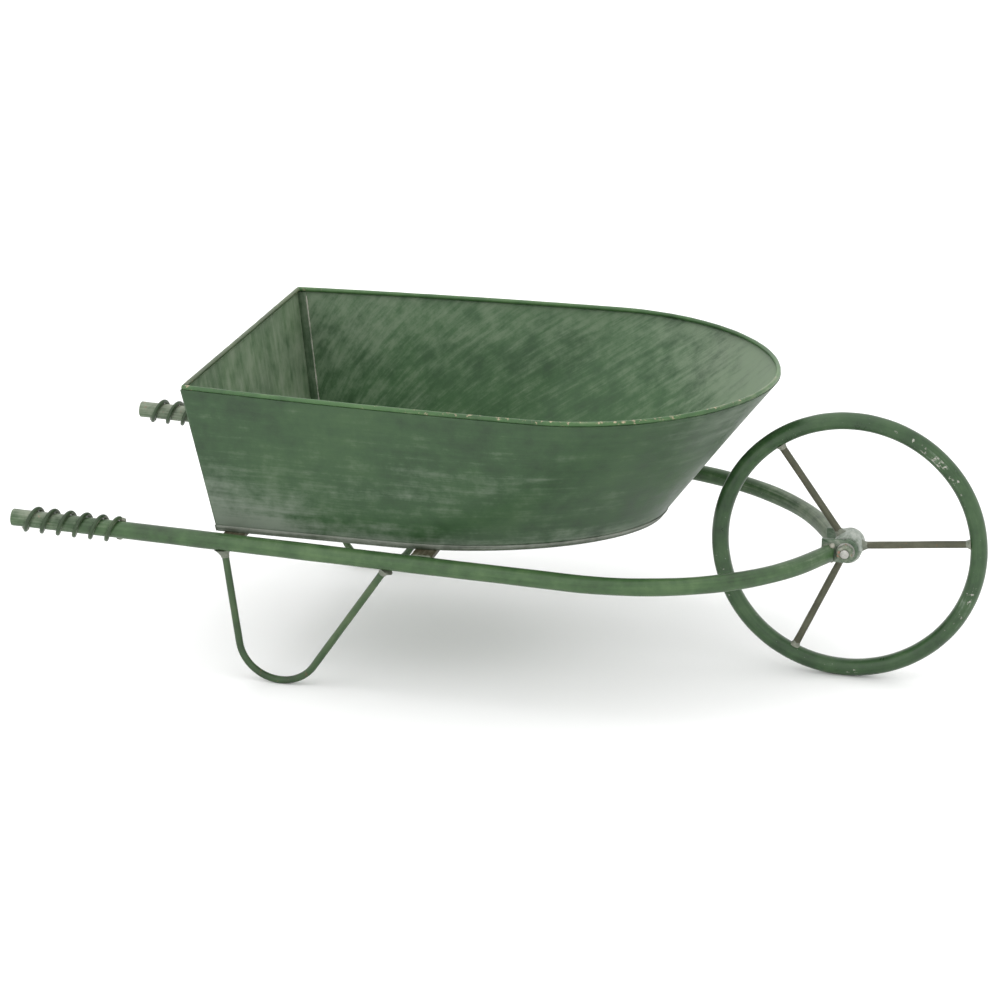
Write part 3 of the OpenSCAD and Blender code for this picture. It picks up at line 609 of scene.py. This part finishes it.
across = np.linspace(1, -1, 110)[:, None]
rise = np.linspace(0, 1, 44)
rise = np.concatenate([rise, rise[::-1]])[None, :]
thick = np.concatenate([np.zeros(44), np.full(44, -sheet)])[None, :]
bow = (uneven(panel_point(across, rise, 0 * rise), 0.17, 0.0008, 31) * (1 - across ** 8)
       * np.sin(np.pi * np.clip(rise, 0, 1)) ** 0.7)
panel_grid = panel_point(across, rise, thick + bow)
low = np.broadcast_to(1 - rise, panel_grid.shape[:2])
panel_wash = np.where(thick < 0, 0.10 + 0.5 * bump_at(low, 1.0, 0.2), 0.40 + 0.15 * bump_at(low, 0.5, 0.4))
rear_inside_paint = aged_paint("rear_inside_paint", (0.055, 0.102, 0.049), (0.096, 0.161, 0.078),
        (0.147, 0.215, 0.117),
        wash=(0.28, 0.31, 0.25), bare=(0.46, 0.42, 0.34), strokes=(130, 9),
        washed=-0.02, flaked=-0.11, speck=0.78, gloss=0.52, cover=0.5)
rear_panel = surface("tray_rear_sheet", panel_grid, [outside_paint, rear_inside_paint], panel_wash,
                     0.2 * bump_at(low, 0, 0.05), finish=np.where(np.arange(88) < 43, 1, 0))
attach(rear_panel, "frame")
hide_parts("tray_rear_panel")


# ---- Corner flanges ----
# The rear panel's side edges are folded forward against the inside of the side wall and soldered there;
# a thin pale line of solder runs down the front edge of each.

flange_wide = 0.010
flange_short = 0.0010
edge_z = tray_foot_z + np.linspace(0.0002, tray_deep - flange_short, 40)
flange_paint = aged_paint("flange_paint", (0.029, 0.058, 0.027), (0.051, 0.095, 0.045), (0.083, 0.129, 0.071),
        wash=(0.24, 0.27, 0.21), bare=(0.42, 0.36, 0.28), strokes=(9, 150),
        washed=0.05, flaked=-0.06, gloss=0.5, cover=0.6)
solder_paint = aged_paint("solder_paint", (0.14, 0.17, 0.12), (0.26, 0.28, 0.22), (0.40, 0.38, 0.31),
        wash=(0.46, 0.46, 0.40), bare=(0.36, 0.27, 0.16), strokes=(80, 80), washed=0.1, flaked=0.02)
for side, word in both_sides:
    share = (edge_z - tray_foot_z) / tray_deep
    corner_x = axle[0] - (foot_outline[0] + (rim_outline[0] - foot_outline[0]) * share)
    corner_y = foot_outline[3] + (rim_outline[3] - foot_outline[3]) * share
    section = bar_section(flange_wide, sheet - 0.0001, 0.0004, 4) + (flange_wide / 2, 0)
    grid = np.stack([corner_x[:, None] + section[:, 0], corner_y[:, None] - 1.5 * sheet + section[:, 1],
                     edge_z[:, None] + 0 * section[:, 0]], 2)
    grid = grid if side > 0 else mirrored(grid)
    flange = surface(f"corner_flange_{word}_strip", grid, flange_paint, 0.25, 0.15)
    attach(flange, "frame")
    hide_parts(f"corner_flange_{word}")
    line = np.stack([corner_x + flange_wide, side * (corner_y - 2 * sheet + 0.0002), edge_z], 1)[1:-1]
    line[:, 1] += side * 0.0006
    run = bead(evenly(line, 0.0015), (1, 0, 0), 0.0009, 4 + side)
    solder = surface(f"corner_solder_{word}", run, solder_paint, 0.3, 0.4)
    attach(solder, "frame")


# ---- Tray floor and foot seams ----
# A flat steel floor inside the walls, held by a folded seam that runs round the outside of the foot.
# The seam stands a little proud, so its paint is rubbed to grey-brown with a pale line along its top.

floor_share = np.concatenate([
    np.linspace(0.0005, 0.02, 5), np.linspace(0.03, 1, 70), 1 + np.linspace(0.02, 0.985, 60)])
inner_edge = tray_point(floor_share, np.full(len(floor_share), tray_foot_z), np.full(len(floor_share), -sheet))
half = inner_edge[:, 1] - sheet * (inner_edge[:, 0] < inner_edge[0, 0] + flange_wide) - 0.0001
spread = np.linspace(-1, 1, 36)
spread = np.concatenate([spread, spread[::-1]])
floor_y = half[:, None] * spread
floor_top = np.concatenate([np.full(36, sheet), np.zeros(36)])[None, :]
floor_grid = np.stack([inner_edge[:, :1] + 0 * floor_y, floor_y, tray_foot_z + floor_top + 0 * floor_y], 2)
sag = np.abs(uneven(floor_grid, 0.12, 0.0005, 41))
floor_grid[..., 2] -= sag * (floor_top > 0) * (1 - spread ** 6)
floor_grid = floor_grid[:, ::-1]
floor_paint = aged_paint("floor_paint", (0.041, 0.072, 0.043), (0.068, 0.111, 0.068), (0.111, 0.153, 0.102),
        wash=(0.26, 0.29, 0.23), bare=(0.20, 0.13, 0.07), strokes=(20, 60), slant=0.5,
        washed=0.06, flaked=-0.05, gloss=0.56)
floor = surface("tray_floor_sheet", floor_grid, floor_paint, 0.25, 0.25 * bump_at(floor_grid[..., 0], -0.26, 0.06))
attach(floor, "frame")
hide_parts("tray_floor")

seam_paint = aged_paint("seam_paint", (0.030, 0.044, 0.024), (0.050, 0.069, 0.042), (0.075, 0.097, 0.063),
        wash=(0.26, 0.28, 0.24), bare=(0.16, 0.11, 0.07), strokes=(9, 300),
        washed=0.05, flaked=0.0, gloss=0.55)
seam_section = bar_section(sheet, seam_high, 0.0005, 4) + (-sheet / 2, seam_high / 2)
seam_z = tray_foot_z + seam_section[None, :, 1]
seam_out = sheet + 0.0001 + seam_section[None, :, 0]
seam_grid = tray_point(station, seam_z, seam_out + 0 * station)
seam_wash = 0.55 * (seam_section[None, :, 1] > seam_high - 0.0008) + 0.15 + 0 * station
side_seam = surface("side_floor_seam_fold", seam_grid, seam_paint, seam_wash, 0.3)
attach(side_seam, "frame")
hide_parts("side_floor_seam")

strip = np.linspace(-1, 1, 90)[:, None]
strip_up = seam_section[None, ::-1, 1] / np.hypot(tray_deep, panel_run) + 0 * strip
strip_grid = panel_point(strip, strip_up, seam_section[None, ::-1, 0] - sheet - 0.0001 + 0 * strip)
rear_seam = surface("rear_floor_seam_fold", strip_grid, seam_paint, 0.3, 0.3)
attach(rear_seam, "frame")
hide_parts("rear_floor_seam")


# ---- Rolled rim ----
# The top edge of each sheet is rolled inward round a 3 mm wire, which stiffens it and keeps it safe to hold.
# Hands and tools wear the roll first: it is brighter green, chipped to tan primer and pale metal.

wire_bore = 0.0016
wall_top = np.full(401, tray_foot_z + tray_deep)
rim_z = wall_top[0] + np.sqrt(roll_radius ** 2 - (roll_radius - sheet) ** 2)
roll_line = tray_point(stations, wall_top, -roll_radius)
roll_out = unit(tray_point(stations, wall_top) - roll_line)
roll_line[:, 2] = rim_z
travelled = distances(roll_line)
from_end = np.minimum(travelled, travelled[-1] - travelled)


def rolled(line, out, from_end, seed):
    """A rolled edge: a round tube along the rim with softly closed ends, and the bore that holds the wire."""
    skin = roll_radius * np.sqrt(np.clip(1 - (1 - np.clip(from_end / 0.0012, 0, 1)) ** 2 * 0.16, 0, 1))
    outer = tube(line, out, skin, 22)
    waver = np.abs(uneven(outer, 0.045, 0.00022, seed))[..., None]
    outer = outer - waver * unit(outer - line[:, None])
    bore = tube(line, out, wire_bore, 22)
    return np.concatenate([outer, bore[::-1]])


roll_grid = rolled(roll_line, roll_out, from_end, 51)
x, y, z = np.moveaxis(roll_grid, -1, 0)
top_side = bump_at(z, rim_z + roll_radius, 0.0035)
near_wear = (y < 0) * (0.45 * bump_at(x, 0.13, 0.16) + 0.22 * bump_at(x, -0.05, 0.12) + 0.18)
roll_wear = near_wear * (0.35 + 0.65 * top_side) + 0.22 * top_side * (y > 0) + 0.45 * bump_at(x, -0.32, 0.012)
roll_wash = 0.20 * bump_at(x, 0.27, 0.05) + 0.10 * (y < 0) + 0.16 * top_side * (y < 0)
roll_paint = aged_paint("roll_paint", (0.024, 0.064, 0.020), (0.042, 0.107, 0.032), (0.077, 0.156, 0.054),
        wash=(0.33, 0.31, 0.24), bare=(0.44, 0.36, 0.24), strokes=(12, 400),
        washed=-0.16, flaked=0.02, gloss=0.40)
side_roll = surface("side_rim_rolled_edge", roll_grid, roll_paint, roll_wash, roll_wear, ring=True)
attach(side_roll, "frame")
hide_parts("side_rim_roll")

roll_low, roll_high = (np.array(corner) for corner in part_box("rear_rim_roll"))
rear_line = np.stack([np.full(160, (roll_low[0] + roll_high[0]) / 2),
                      np.linspace(roll_low[1], roll_high[1], 160), np.full(160, rim_z)], 1)
rear_from_end = np.minimum(rear_line[:, 1] - roll_low[1], roll_high[1] - rear_line[:, 1])
rear_grid = rolled(rear_line, (-1, 0, 0), rear_from_end, 52)
rear_wear = (0.35 * bump_at(rear_grid[..., 2], rim_z + roll_radius, 0.004)
             + 0.3 * bump_at(np.abs(rear_grid[..., 1]), 0.207, 0.03))
rear_roll_paint = aged_paint("rear_roll_paint", (0.037, 0.058, 0.023), (0.061, 0.092, 0.038), (0.101, 0.133, 0.060),
        wash=(0.32, 0.30, 0.24), bare=(0.30, 0.22, 0.14), strokes=(12, 400),
        washed=-0.12, flaked=0.0, gloss=0.45)
rear_roll = surface("rear_rim_rolled_edge", rear_grid, rear_roll_paint, 0.1, rear_wear, ring=True)
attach(rear_roll, "frame")
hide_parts("rear_rim_roll")

wire_steel = aged_paint("wire_steel", (0.20, 0.19, 0.17), (0.32, 0.31, 0.28), (0.44, 0.43, 0.40),
        wash=(0.52, 0.52, 0.48), bare=(0.20, 0.12, 0.07), strokes=(30, 30), gloss=0.38)
for node in ("side_rim_wire", "rear_rim_wire"):
    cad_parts[node].data.materials.clear()
    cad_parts[node].data.materials.append(wire_steel)


# ---- Wheel ring ----
# A 19 mm tube rolled to a circle and butt-welded. Its paint is darker and glossier than the tray's,
# scuffed to white and grey along the sides, where the barrow leans on things; the pale patches on the
# sides' crest are also a painted highlight.

ring_middle, ring_tube = 0.143, 0.0095
around = np.linspace(0, 2 * np.pi, 320, endpoint=False)
ring_line = axle + ring_middle * np.stack([np.cos(around), 0 * around, np.sin(around)], 1)
ring_out = unit(ring_line - axle)
ring_ahead = np.stack([-np.sin(around), 0 * around, np.cos(around)], 1)
ring_across = np.cross(ring_ahead, ring_out)
angle = np.linspace(0, 2 * np.pi, 48, endpoint=False)[None, :, None]
skin_out = np.cos(angle) * ring_out[:, None] + np.sin(angle) * ring_across[:, None]
ring_grid = ring_line[:, None] + ring_tube * skin_out
ring_grid -= np.abs(uneven(ring_grid, 0.05, 0.00016, 61))[..., None] * skin_out
crest = np.abs(skin_out[..., 1])
clock = np.degrees(around)[:, None]


def arc(middle, width):
    """How near a place on the ring is to a clock angle in degrees, as a bell curve."""
    return bump_at((clock - middle + 180) % 360 - 180, 0, width)


# Pale patches on the crest of each side: scuff wear, and also a painted highlight along the tube's crest.
scuffs_and_highlight = 0.85 * arc(55, 26) + 0.60 * arc(200, 16) + 0.75 * arc(-22, 20) + 0.35 * arc(120, 20) + 0.45 * arc(265, 24)
ring_wash_and_highlight = 0.45 * scuffs_and_highlight * bump_at(crest, 0.92, 0.20)
ring_wear_and_highlight = 0.22 + 0.30 * bump_at(np.cos(angle[..., 0]), -1, 0.25) + 0.85 * scuffs_and_highlight * bump_at(crest, 0.95, 0.10)
ring_paint = aged_paint("ring_paint", (0.014, 0.035, 0.013), (0.028, 0.067, 0.023), (0.049, 0.100, 0.037),
        wash=(0.55, 0.58, 0.56), bare=(0.46, 0.45, 0.40), strokes=(9, 330),
        washed=-0.22, flaked=-0.06, gloss=0.33)
ring = surface("wheel_ring_tube", ring_grid, ring_paint, ring_wash_and_highlight, ring_wear_and_highlight, ring=True)
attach(ring, "wheel")
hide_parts("wheel_ring")


# ---- Hub ----
# A turned steel sleeve 33 mm across, its edges rounded, that runs straight on the axle bolt.
# Paint hardly held on it: it is worn to pale grey, with green and rust left in the hollows.

hub_radius, hub_half, bore_radius = 0.0165, 0.015, 0.00508
quarter = np.linspace(0, np.pi / 2, 7)
hub_edge = np.stack([-np.cos(quarter), np.sin(quarter)], 1) * 0.0022 + (-hub_half + 0.0022, hub_radius - 0.0022)
hub_profile = np.concatenate([
    [(-hub_half, bore_radius + 0.0005), (-hub_half, 0.011)], hub_edge,
    np.stack([np.linspace(-0.010, 0.010, 9), np.full(9, hub_radius)], 1), hub_edge[::-1] * (-1, 1),
    [(hub_half, 0.011), (hub_half, bore_radius + 0.0005)],
    [(hub_half - 0.0005, bore_radius), (-hub_half + 0.0005, bore_radius)],
])
hub_grid = turned(hub_profile, axle, (0, 1, 0), np.array([1.0, 0.0, 0.0]), 72)
barrel = (np.hypot(hub_grid[..., 0] - axle[0], hub_grid[..., 2] - axle[2]) > 0.013)[..., None]
hub_grid -= np.abs(uneven(hub_grid, 0.012, 0.00022, 71))[..., None] * barrel * unit((hub_grid - axle) * (1, 0, 1))
worn_paint = aged_paint("worn_paint", (0.085, 0.119, 0.085), (0.204, 0.238, 0.196), (0.391, 0.391, 0.357),
        wash=(0.48, 0.50, 0.46), bare=(0.24, 0.14, 0.08), strokes=(70, 160),
        washed=0.16, flaked=-0.03, speck=0.66, gloss=0.42)
hub = surface("wheel_hub_sleeve", hub_grid, worn_paint, 0.3, 0.25, ring=True)
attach(hub, "wheel")
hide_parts("wheel_hub")


# ---- Spokes ----
# Three 8 mm rods welded between hub and ring. Their thin olive coat is brown and rusty, and pale near the hub.
# Each weld is a small collar that runs out along the rod.

def collar(centre, axis, rod, flare, length, seed):
    """A weld collar: a profile that flares out towards the piece it is welded to, turned round the rod."""
    reach = np.linspace(-0.0012, length, 14)
    share = (reach - reach[0]) / (reach[-1] - reach[0])
    profile = np.stack([reach, rod + 0.0001 + flare * (1 - share) ** 1.8], 1)
    profile[-1, 1] = rod - 0.0002
    grid = turned(profile, centre, axis, unit(np.cross(axis, (0, 1, 0))), 30)
    outward = unit(grid - (np.asarray(centre) + reach[:, None, None] * axis))
    grid[1:-1] += (uneven(grid, 0.004, 0.10 * flare, seed)[..., None] * outward)[1:-1]
    return grid


spoke_radius = 0.004
spoke_paint = aged_paint("spoke_paint", (0.030, 0.034, 0.018), (0.061, 0.062, 0.035), (0.102, 0.106, 0.068),
        wash=(0.30, 0.29, 0.24), bare=(0.22, 0.095, 0.030), strokes=(14, 200),
        washed=-0.20, flaked=0.0, gloss=0.50)
for number in range(3):
    way = np.radians(6 + 120 * number)
    way = np.array([np.cos(way), 0, np.sin(way)])
    reach = np.linspace(hub_radius - 0.0008, ring_middle - ring_tube + 0.0010, 70)
    spoke_grid = turned(np.stack([reach, np.full(70, spoke_radius)], 1), axle, way, np.array([0.0, 1.0, 0.0]), 24)
    off_axis = unit(spoke_grid - (axle + reach[:, None, None] * way))
    spoke_grid[2:-2] += (uneven(spoke_grid, 0.03, 0.00012, 80 + number)[..., None] * off_axis)[2:-2]
    hub_wash = 0.55 * np.exp(-(reach - hub_radius) / 0.02)[:, None]
    rust = (0.55 if number == 0 else 0.25) * np.exp(-np.abs(reach - 0.055) / 0.06)[:, None]
    spoke = surface(f"spoke_{number + 1}_rod", spoke_grid, spoke_paint, hub_wash, rust)
    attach(spoke, "wheel")
    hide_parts(f"spoke_{number + 1}")
    welds = (("hub", axle + hub_radius * way, way, 0.0026, 0.005),
             ("ring", axle + (ring_middle - ring_tube) * way, -way, 0.0024, 0.0045))
    for place, centre, axis, flare, length in welds:
        grid = collar(centre, axis, spoke_radius, flare, length, 90 + number)
        weld = surface(f"spoke_{number + 1}_weld_{place}", grid, weld_paint, 0.2, 0.2)
        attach(weld, "wheel")


# ---- Axle lugs ----
# 5 mm steel plates with a round end for the axle bolt. The rail's sawn end lies on the outside of each,
# with a thick run of weld round it and a drop where the run was finished.

lug_radius, lug_thick, lug_back, lug_top, lug_in = 0.0135, 0.005, 0.02707, 0.012, 0.016
corner_angles = [np.arctan2(lug_top, -lug_back), np.arctan2(-lug_radius, -lug_back) + 2 * np.pi]
lug_angle = np.sort(np.concatenate([np.linspace(0, 2 * np.pi, 120, endpoint=False), corner_angles]))
cos, sin = np.cos(lug_angle), np.sin(lug_angle)
to_back = np.where(cos < -1e-6, lug_back / np.maximum(-cos, 1e-6), 1)
to_edge = np.where(sin > 0, lug_top, lug_radius) / np.maximum(np.abs(sin), 1e-6)
lug_reach = np.where(cos < 0, np.maximum(lug_radius * (sin <= 0), np.minimum(to_back, to_edge)), lug_radius)


def plate_rows(outline, hole, thick, soft):
    """Rows of a plate with a hole: the hole's edge, the face, the outline with its edges softened, the other
    face and back to the hole. Each row is (radius at each angle, distance through the plate)."""
    flat = 0 * outline
    edge = [(outline - soft, 0), (outline - 0.3 * soft, 0.3 * soft), (outline, soft)]
    return [(flat + hole, 0), *edge, *[(reach, thick - depth) for reach, depth in edge[::-1]], (flat + hole, thick)]


lug_paint = aged_paint("lug_paint", (0.035, 0.065, 0.034), (0.080, 0.130, 0.076), (0.19, 0.22, 0.17),
        wash=(0.52, 0.50, 0.46), bare=(0.26, 0.11, 0.07), strokes=(60, 120),
        washed=0.06, flaked=0.0, gloss=0.45)
for side, word in both_sides:
    rows = plate_rows(lug_reach, bore_radius + 0.0001, lug_thick, 0.0007)
    grid = np.stack([np.stack([axle[0] + r * cos, 0 * cos + lug_in + t, axle[2] + r * sin], 1)
                     for r, t in rows])[:, ::-1]
    grid = grid if side > 0 else mirrored(grid)
    lug = surface(f"axle_lug_{word}_plate", grid, lug_paint, 0.2, 0.3, ring=True)
    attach(lug, "frame")
    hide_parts(f"axle_lug_{word}")
    sawn = rail_outside[-1]
    sawn = np.roll(sawn, -int(np.argmax(sawn[:, 0])), axis=0)
    run = sawn[(np.abs(sawn[:, 1] - lug_face) < 1e-5) & (sawn[:, 0] < axle[0] - rail_cut_back - 0.0005)]
    run = evenly(run * np.array([1, side, 1]), 0.0008)
    weld = surface(f"rail_{word}_weld_lug", bead(run, (0, side, 0), 0.0017, 5), weld_paint, 0.1, 0.25)
    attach(weld, "frame")
    drop_at = np.array([axle[0] - 0.0145, side * 0.0262, axle[2] + 0.0068])
    drop = surface(f"rail_{word}_weld_drop", lump(drop_at, (1, 0, 0), (0.0030, 0.0030), 15), weld_paint, 0.6, 0.0)
    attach(drop, "frame")


# ---- Axle bolt, nut and washers ----
# A 10 mm bolt put in from the left, with a washer under its head and another under the nut on the right.
# The nut was painted in place; the bolt's end and the nut's high corners are rubbed bare.

washer_face, nut_face, bolt_tip, head_face = -0.023, -0.031, -0.033, 0.0295
hex_half, bolt_radius = 0.0085, 0.005


def hex_radius(angle):
    """Distance from the middle of a hexagon to its edge at an angle."""
    return hex_half / np.cos((angle + np.pi / 6) % (np.pi / 3) - np.pi / 6)


def hex_ring(scale, y, angle):
    """One ring of a nut or bolt head, pulled in to the round chamfer where it would stand past it."""
    reach = np.minimum(hex_radius(angle), scale)
    return np.stack([axle[0] + reach * np.cos(angle), y + 0 * angle, axle[2] + reach * np.sin(angle)], 1)


hex_angle = np.linspace(0, 2 * np.pi, 96, endpoint=False) + np.radians(8)
round_at = hex_half * 1.04
corner = hex_half / np.cos(np.pi / 6)
nut_paint = aged_paint("nut_paint", (0.050, 0.080, 0.040), (0.100, 0.140, 0.085), (0.22, 0.24, 0.17),
        wash=(0.55, 0.52, 0.48), bare=(0.28, 0.13, 0.08), strokes=(90, 160),
        washed=0.05, flaked=0.01, gloss=0.38)
nut_rings = [(bolt_radius, washer_face), (round_at - 0.0006, washer_face), (corner, washer_face - 0.0009),
             (corner, nut_face + 0.0011), (round_at - 0.0004, nut_face + 0.0001), (0.0078, nut_face),
             (bolt_radius + 0.0007, nut_face), (bolt_radius, nut_face + 0.0006)]
nut_grid = np.stack([hex_ring(scale, y, hex_angle) for scale, y in nut_rings])
nut = surface("axle_nut_hex", nut_grid, nut_paint, 0.25, 0.5, ring=True)
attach(nut, "frame")
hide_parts("axle_nut")

thread_y = np.linspace(bolt_tip + 0.0006, nut_face + 0.0012, 46)[:, None]
thread_turn = np.linspace(0, 2 * np.pi, 64, endpoint=False)[None, :]
thread = 0.00042 * np.abs(((thread_y / 0.0015 + thread_turn / (2 * np.pi)) % 1) * 2 - 1)
thread_radius = bolt_radius - thread
thread_radius = np.concatenate([np.full((1, 64), 0.0002), np.full((1, 64), 0.0040), thread_radius,
                                np.full((4, 64), bolt_radius)])
thread_y = np.concatenate([[[bolt_tip]], [[bolt_tip]], thread_y, [[nut_face + 0.002], [0.0], [0.02], [0.0229]]])
bolt_grid = np.stack([axle[0] + thread_radius * np.cos(thread_turn), thread_y + 0 * thread_radius,
                      axle[2] + thread_radius * np.sin(thread_turn)], 2)
head_rings = [(0.0048, 0.023), (round_at - 0.0006, 0.023), (corner, 0.0239), (corner, head_face - 0.0011),
              (round_at - 0.0004, head_face - 0.0001), (0.0078, head_face), (0.0002, head_face)]
head_grid = np.stack([hex_ring(scale, y, hex_angle - np.radians(8)) for scale, y in head_rings])[:, ::-1]
bolt_steel = aged_paint("bolt_steel", (0.18, 0.18, 0.16), (0.34, 0.34, 0.31), (0.55, 0.54, 0.50),
        wash=(0.66, 0.64, 0.60), bare=(0.26, 0.13, 0.08), strokes=(120, 120),
        washed=0.1, flaked=-0.02, gloss=0.34)
bolt = surface("axle_bolt_shank", bolt_grid[:, ::-1], bolt_steel, 0.2, 0.3)
head = surface("axle_bolt_head", head_grid, bolt_steel, 0.2, 0.35)
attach(bolt, "frame")
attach(head, "frame")
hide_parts("axle_bolt")

for side, word in both_sides:
    outline = np.full(72, 0.010)
    spin = np.linspace(0, 2 * np.pi, 72, endpoint=False)
    rows = plate_rows(outline, bore_radius, 0.002, 0.0004)
    grid = np.stack([np.stack([axle[0] + r * np.cos(spin), 0 * spin + lug_face + t, axle[2] + r * np.sin(spin)], 1)
                     for r, t in rows])[:, ::-1]
    grid = grid if side > 0 else mirrored(grid)
    washer = surface(f"axle_washer_{word}_ring", grid, bolt_steel, 0.2, 0.45, ring=True)
    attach(washer, "frame")
    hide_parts(f"axle_washer_{word}")


# ---- Studio ----
# A plain white floor under an even white sky, with one big soft light overhead and a weaker one in front.

floor_mesh = bpy.data.meshes.new("studio_floor")
floor_mesh.from_pydata([(-30, -30, 0), (30, -30, 0), (30, 30, 0), (-30, 30, 0)], [], [(0, 1, 2, 3)])
studio_floor = bpy.data.objects.new("studio_floor", floor_mesh)
bpy.context.scene.collection.objects.link(studio_floor)
white = bpy.data.materials.new("studio_white")
white.use_nodes = True
white.node_tree.nodes["Principled BSDF"].inputs["Base Color"].default_value = (0.95, 0.95, 0.95, 1)
white.node_tree.nodes["Principled BSDF"].inputs["Roughness"].default_value = 0.9
floor_mesh.materials.append(white)

world = bpy.data.worlds.new("studio_sky")
world.use_nodes = True
world.node_tree.nodes["Background"].inputs["Color"].default_value = (1, 1, 1, 1)
world.node_tree.nodes["Background"].inputs["Strength"].default_value = 1.35
bpy.context.scene.world = world


def soft_light(name, place, target, size, power):
    """A square soft light that faces a target: its own -Z axis is turned to point there."""
    lamp = bpy.data.lights.new(name, "AREA")
    lamp.size, lamp.energy = size, power
    holder = bpy.data.objects.new(name, lamp)
    from_target = unit(np.array(place, float) - np.array(target, float))
    side_way = unit(np.cross((0, 1, 0.01), from_target))
    up_way = np.cross(from_target, side_way)
    turn = np.eye(4)
    turn[:3, 0], turn[:3, 1], turn[:3, 2], turn[:3, 3] = side_way, up_way, from_target, place
    holder.matrix_world = Matrix(turn)
    bpy.context.scene.collection.objects.link(holder)


soft_light("overhead_light", (-0.2, -0.3, 2.6), (0, 0, 0.2), 3.0, 14)
soft_light("front_light", (-1.4, -2.6, 1.6), (0, 0, 0.2), 2.0, 8)

view_azimuth, view_elevation, view_roll, view_distance = np.radians(13.96), np.radians(18.95), np.radians(0.59), 3.787
view_target = np.array([-0.0234, 0.0, 0.1682])
from_target = np.array([np.sin(view_azimuth) * np.cos(view_elevation), -np.cos(view_azimuth) * np.cos(view_elevation),
                        np.sin(view_elevation)])
right_way = np.array([np.cos(view_azimuth), np.sin(view_azimuth), 0])
up_way = np.cross(from_target, right_way)
right_rolled = np.cos(view_roll) * right_way + np.sin(view_roll) * up_way
up_rolled = np.cos(view_roll) * up_way - np.sin(view_roll) * right_way
camera_data = bpy.data.cameras.new("camera")
camera_data.sensor_width, camera_data.lens = 36, 121.3
camera = bpy.data.objects.new("camera", camera_data)
stand = np.eye(4)
stand[:3, 0], stand[:3, 1], stand[:3, 2] = right_rolled, up_rolled, from_target
stand[:3, 3] = view_target + view_distance * from_target
camera.matrix_world = Matrix(stand)
bpy.context.scene.collection.objects.link(camera)
bpy.context.scene.camera = camera
bpy.context.scene.view_settings.view_transform = "Standard"
